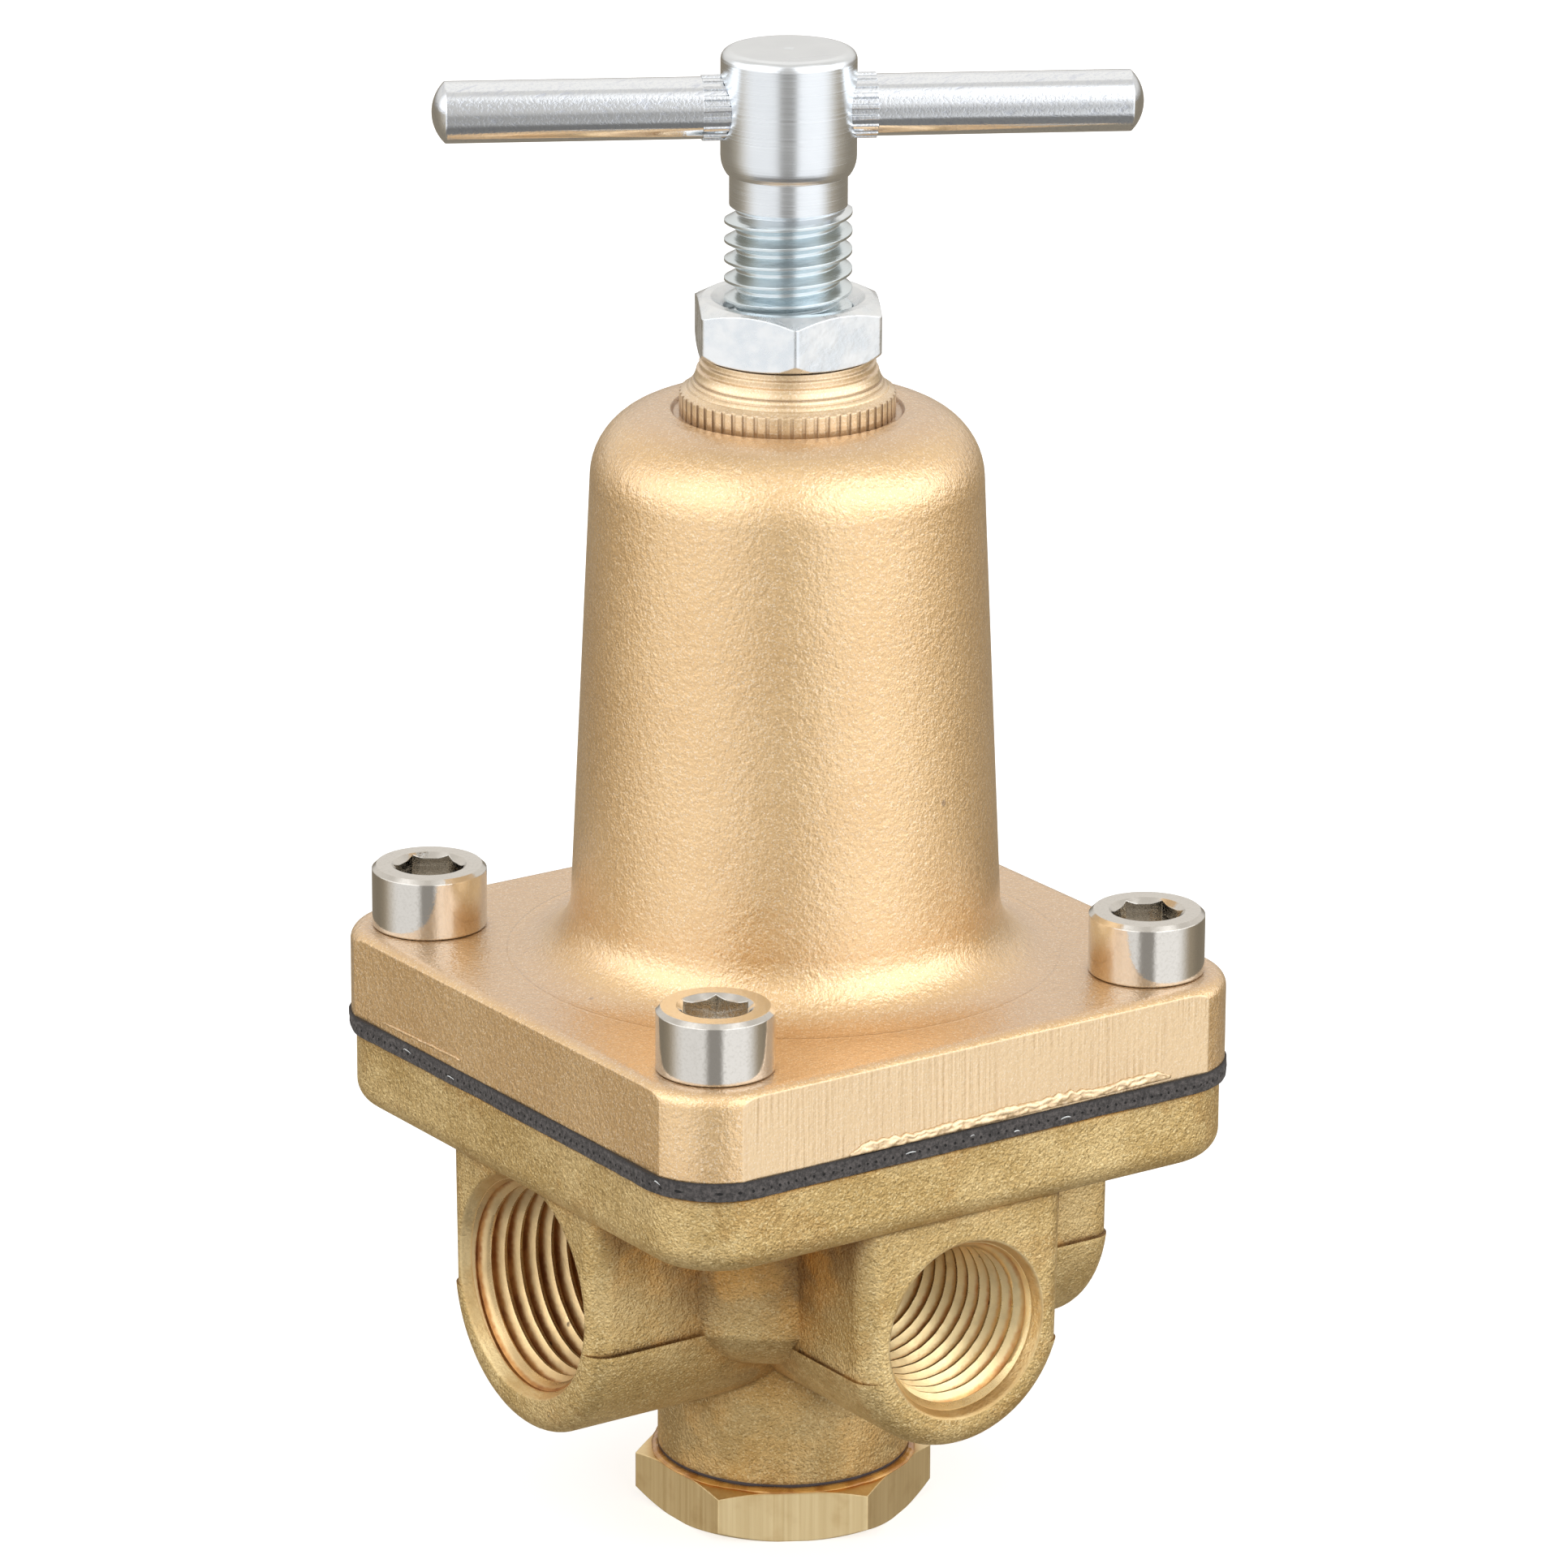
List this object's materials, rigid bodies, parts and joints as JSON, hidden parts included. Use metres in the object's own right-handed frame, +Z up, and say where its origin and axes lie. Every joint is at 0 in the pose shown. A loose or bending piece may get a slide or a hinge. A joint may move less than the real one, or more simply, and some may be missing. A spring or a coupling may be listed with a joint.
{
  "type": "air pressure regulator",
  "caption": "Brass air pressure regulator with a T-handle adjusting screw, a bell-shaped spring bonnet and threaded side ports.",
  "frame": {"origin": "on the spring axis at the underside of the bottom plug", "axes": "+Z up the spring axis towards the T-handle, +X towards the outlet port, -X towards the inlet port, -Y towards the front gauge port"},
  "size_m": [0.053, 0.053, 0.1172],
  "materials": {
    "raw_brass": "raw cast",
    "bronze_paint": "metallic gold paint",
    "bushing_paint": "metallic gold paint over turned brass",
    "machined_brass": "machined",
    "zinc_steel": "bright zinc plate, turned",
    "bar_steel": "polished",
    "nut_zinc": "bright zinc plate",
    "screw_steel": "polished",
    "diaphragm_rubber": "fabric reinforced",
    "gasket_fibre": "matte",
    "seal_rubber": "smooth",
    "plain_steel": "pressed",
    "spring_steel": "oiled",
    "spring_stainless": "bright"
  },
  "bodies": {
    "housing": {"body": "raw_brass", "bonnet": "bronze_paint", "bonnet_bushing": "bushing_paint", "cap_screws": "screw_steel", "diaphragm": "diaphragm_rubber", "bottom_plug": "machined_brass", "plug_gasket": "gasket_fibre", "valve_seat": "machined_brass", "seat_o_ring": "seal_rubber", "poppet_o_ring": "seal_rubber", "range_spring": "spring_steel", "valve_spring": "spring_stainless"},
    "button": {"spring_button": "plain_steel"},
    "handle": {"adjusting_screw": "zinc_steel", "t_bar": "bar_steel"},
    "nut": {"lock_nut": "nut_zinc"},
    "diaphragm_stack": {"spring_cup": "plain_steel", "lower_plate": "plain_steel", "relief_stud": "machined_brass", "diaphragm_nut": "machined_brass"},
    "valve": {"valve_poppet": "machined_brass", "valve_disc": "seal_rubber", "valve_pin": "spring_stainless"}
  },
  "joints": [
    {"name": "screw_feed", "type": "slide", "parent": "housing", "child": "button", "axis": [0, 0, 1], "range_m": [-0.00901, 0], "deforming": ["range_spring"]},
    {"name": "handle_turn", "type": "hinge", "parent": "button", "child": "handle", "pos_m": [0, 0, 0.11275], "axis": [0, 0, 1], "range_deg": [-2160, 0]},
    {"name": "lock_nut_turn", "type": "hinge", "parent": "housing", "child": "nut", "pos_m": [0, 0, 0.09575], "axis": [0, 0, 1], "range_deg": [0, 90]},
    {"name": "diaphragm_travel", "type": "slide", "parent": "housing", "child": "diaphragm_stack", "axis": [0, 0, 1], "range_m": [-0.0012, 0], "stiffness_N_per_m": 800, "springref_m": 0.002, "deforming": ["diaphragm"]},
    {"name": "valve_travel", "type": "slide", "parent": "housing", "child": "valve", "axis": [0, 0, 1], "range_m": [-0.00121, 0], "deforming": ["valve_spring"]}
  ],
  "couplings": [
    {"joint": "screw_feed", "follows": "handle_turn", "m_per_rad": 0.00023873},
    {"joint": "valve_travel", "follows": "diaphragm_travel", "ratio": 1}
  ]
}
